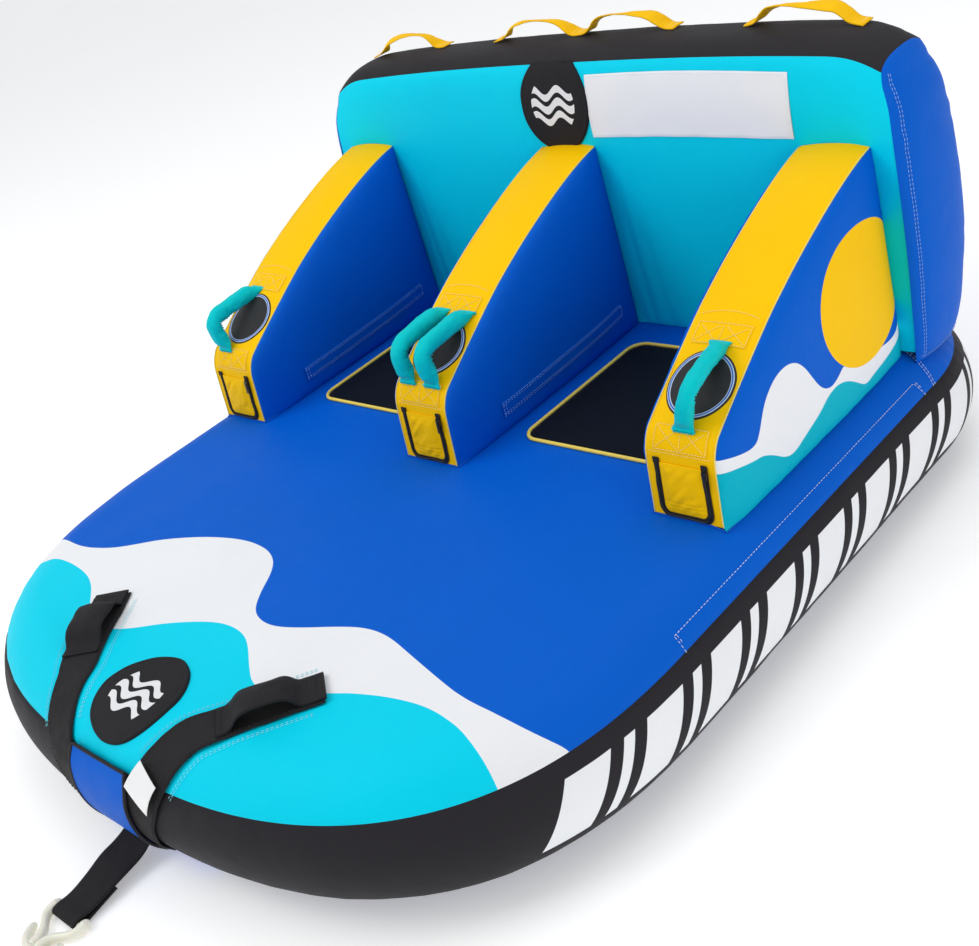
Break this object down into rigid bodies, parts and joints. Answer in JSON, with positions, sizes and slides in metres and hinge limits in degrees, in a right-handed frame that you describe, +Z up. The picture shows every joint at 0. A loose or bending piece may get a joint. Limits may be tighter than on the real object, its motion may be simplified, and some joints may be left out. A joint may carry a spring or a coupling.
{
  "type": "towable tube",
  "caption": "Inflatable water tube for two seated riders, with arm bolsters, a backrest, padded grips, and a nose tow harness with a quick connector.",
  "frame": {"origin": "on the ground under the middle of the overall box, tow connector included", "axes": "+Z up, the nose and its tow connector point to -Y, the backrest is at +Y, +X is the left hand of a seated rider"},
  "size_m": [1.5196, 1.9654, 0.8538],
  "materials": {
    "blue_nylon": "woven nylon cover cloth",
    "cyan_nylon": "woven nylon cover cloth",
    "gold_nylon": "woven nylon cover cloth and piping",
    "black_nylon": "woven nylon cover cloth",
    "pad_fabric": "non-slip pad cloth",
    "pvc_bladder": "smooth vinyl air chamber",
    "black_webbing": "doubled woven webbing",
    "gold_webbing": "flat woven webbing",
    "cyan_webbing": "flat woven webbing",
    "cyan_neoprene": "cloth-faced foam sleeve",
    "zip_tape": "coil zip on woven tape",
    "zip_plastic": "moulded slider and pull",
    "valve_plastic": "moulded valve parts",
    "cream_nylon": "moulded nylon",
    "white_label": "printed film patch"
  },
  "bodies": {
    "root": {"deck_bladder": "pvc_bladder", "deck_top_panel": "blue_nylon", "deck_side_band": "black_nylon", "deck_bottom_panel": "blue_nylon", "nose_strap_left": "black_webbing", "nose_strap_right": "black_webbing", "nose_loop_left": "black_webbing", "nose_loop_right": "black_webbing", "tow_wrap": "blue_nylon", "nose_patch": "blue_nylon", "seat_pad_left": "pad_fabric", "seat_pad_right": "pad_fabric", "seat_pad_piping": "gold_nylon", "arm_bladder_left": "pvc_bladder", "arm_bladder_centre": "pvc_bladder", "arm_bladder_right": "pvc_bladder", "arm_sides_left": "blue_nylon", "arm_sides_centre": "blue_nylon", "arm_sides_right": "blue_nylon", "arm_strip_left": "gold_nylon", "arm_strip_centre": "gold_nylon", "arm_strip_right": "gold_nylon", "knuckle_pads": "pad_fabric", "webbing_anchor_patches": "gold_nylon", "zip_tapes": "zip_tape", "valve_bodies": "valve_plastic", "back_bladder": "pvc_bladder", "back_front_panel": "cyan_nylon", "back_top_panel": "black_nylon", "back_side_panels": "blue_nylon", "back_rear_panel": "blue_nylon", "emblem_badges": "black_nylon", "label_patches": "white_label"},
    "flap_left": {"valve_flap_left": "gold_nylon"},
    "slider_left": {"zip_slider_left": "zip_plastic"},
    "cap_left": {"valve_cap_left": "valve_plastic"},
    "flap_centre": {"valve_flap_centre": "gold_nylon"},
    "slider_centre": {"zip_slider_centre": "zip_plastic"},
    "cap_centre": {"valve_cap_centre": "valve_plastic"},
    "flap_right": {"valve_flap_right": "gold_nylon"},
    "slider_right": {"zip_slider_right": "zip_plastic"},
    "cap_right": {"valve_cap_right": "valve_plastic"},
    "grip_left": {"grip_sleeve_left": "cyan_neoprene", "grip_webbing_left": "cyan_webbing"},
    "grip_centre_a": {"grip_sleeve_centre_a": "cyan_neoprene", "grip_webbing_centre_a": "cyan_webbing"},
    "grip_centre_b": {"grip_sleeve_centre_b": "cyan_neoprene", "grip_webbing_centre_b": "cyan_webbing"},
    "grip_right": {"grip_sleeve_right": "cyan_neoprene", "grip_webbing_right": "cyan_webbing"},
    "handle_1": {"back_handle_1": "gold_webbing"},
    "handle_2": {"back_handle_2": "gold_webbing"},
    "handle_3": {"back_handle_3": "gold_webbing"},
    "handle_4": {"back_handle_4": "gold_webbing"},
    "deck_slider": {"deck_zip_slider": "zip_plastic"},
    "deck_cap": {"deck_valve_cap": "valve_plastic"},
    "back_cap": {"back_valve_cap": "valve_plastic"},
    "tow_strap_body": {"tow_strap": "black_webbing"},
    "connector": {"tow_connector": "cream_nylon"}
  },
  "joints": [
    {"name": "flap_left_lift", "type": "hinge", "parent": "root", "child": "flap_left", "pos_m": [-0.6, 0.09033, 0.36009], "axis": [-1, 0, 0], "range_deg": [0, 95]},
    {"name": "slider_left_pull", "type": "slide", "parent": "root", "child": "slider_left", "axis": [0, 0.1152, 0.9933], "range_m": [-0.06, 0]},
    {"name": "cap_left_turn", "type": "hinge", "parent": "root", "child": "cap_left", "pos_m": [-0.6, 0.08841, 0.314], "axis": [0, -0.9933, 0.1152], "continuous": true},
    {"name": "flap_centre_lift", "type": "hinge", "parent": "root", "child": "flap_centre", "pos_m": [0, 0.09033, 0.36009], "axis": [-1, 0, 0], "range_deg": [0, 95]},
    {"name": "slider_centre_pull", "type": "slide", "parent": "root", "child": "slider_centre", "axis": [0, 0.1152, 0.9933], "range_m": [-0.06, 0]},
    {"name": "cap_centre_turn", "type": "hinge", "parent": "root", "child": "cap_centre", "pos_m": [0, 0.08841, 0.314], "axis": [0, -0.9933, 0.1152], "continuous": true},
    {"name": "flap_right_lift", "type": "hinge", "parent": "root", "child": "flap_right", "pos_m": [0.6, 0.09033, 0.36009], "axis": [-1, 0, 0], "range_deg": [0, 95]},
    {"name": "slider_right_pull", "type": "slide", "parent": "root", "child": "slider_right", "axis": [0, 0.1152, 0.9933], "range_m": [-0.06, 0]},
    {"name": "cap_right_turn", "type": "hinge", "parent": "root", "child": "cap_right", "pos_m": [0.6, 0.08841, 0.314], "axis": [0, -0.9933, 0.1152], "continuous": true},
    {"name": "grip_left_flop", "type": "hinge", "parent": "root", "child": "grip_left", "pos_m": [-0.622, 0.11789, 0.41813], "axis": [0, 0.8552, 0.5183], "range_deg": [-30, 30]},
    {"name": "grip_centre_a_flop", "type": "hinge", "parent": "root", "child": "grip_centre_a", "pos_m": [-0.033, 0.11789, 0.41813], "axis": [0, 0.8552, 0.5183], "range_deg": [-30, 18]},
    {"name": "grip_centre_b_flop", "type": "hinge", "parent": "root", "child": "grip_centre_b", "pos_m": [0.033, 0.11789, 0.41813], "axis": [0, 0.8552, 0.5183], "range_deg": [-18, 30]},
    {"name": "grip_right_flop", "type": "hinge", "parent": "root", "child": "grip_right", "pos_m": [0.606, 0.11789, 0.41813], "axis": [0, 0.8552, 0.5183], "range_deg": [-30, 30]},
    {"name": "handle_1_flop", "type": "hinge", "parent": "root", "child": "handle_1", "pos_m": [-0.505, 0.781, 0.8225], "axis": [1, 0, 0], "range_deg": [-30, 30]},
    {"name": "handle_2_flop", "type": "hinge", "parent": "root", "child": "handle_2", "pos_m": [-0.115, 0.781, 0.8225], "axis": [1, 0, 0], "range_deg": [-30, 30]},
    {"name": "handle_3_flop", "type": "hinge", "parent": "root", "child": "handle_3", "pos_m": [0.115, 0.781, 0.8225], "axis": [1, 0, 0], "range_deg": [-30, 30]},
    {"name": "handle_4_flop", "type": "hinge", "parent": "root", "child": "handle_4", "pos_m": [0.505, 0.781, 0.8225], "axis": [1, 0, 0], "range_deg": [-30, 30]},
    {"name": "deck_slider_pull", "type": "slide", "parent": "root", "child": "deck_slider", "axis": [1, 0, 0], "range_m": [0, 0.78]},
    {"name": "deck_cap_turn", "type": "hinge", "parent": "root", "child": "deck_cap", "pos_m": [0, 0.97511, 0.17033], "axis": [0, 0.9511, 0.309], "continuous": true},
    {"name": "back_cap_turn", "type": "hinge", "parent": "root", "child": "back_cap", "pos_m": [-0.3, 0.8515, 0.55], "axis": [0, 1, 0], "continuous": true},
    {"name": "tow_strap_lift", "type": "hinge", "parent": "root", "child": "tow_strap_body", "pos_m": [0, -0.739, 0.038], "axis": [-1, 0, 0], "range_deg": [0, 55]},
    {"name": "connector_lift", "type": "hinge", "parent": "tow_strap_body", "child": "connector", "pos_m": [0, -0.904, 0.01], "axis": [-1, 0, 0], "range_deg": [0, 75]}
  ]
}
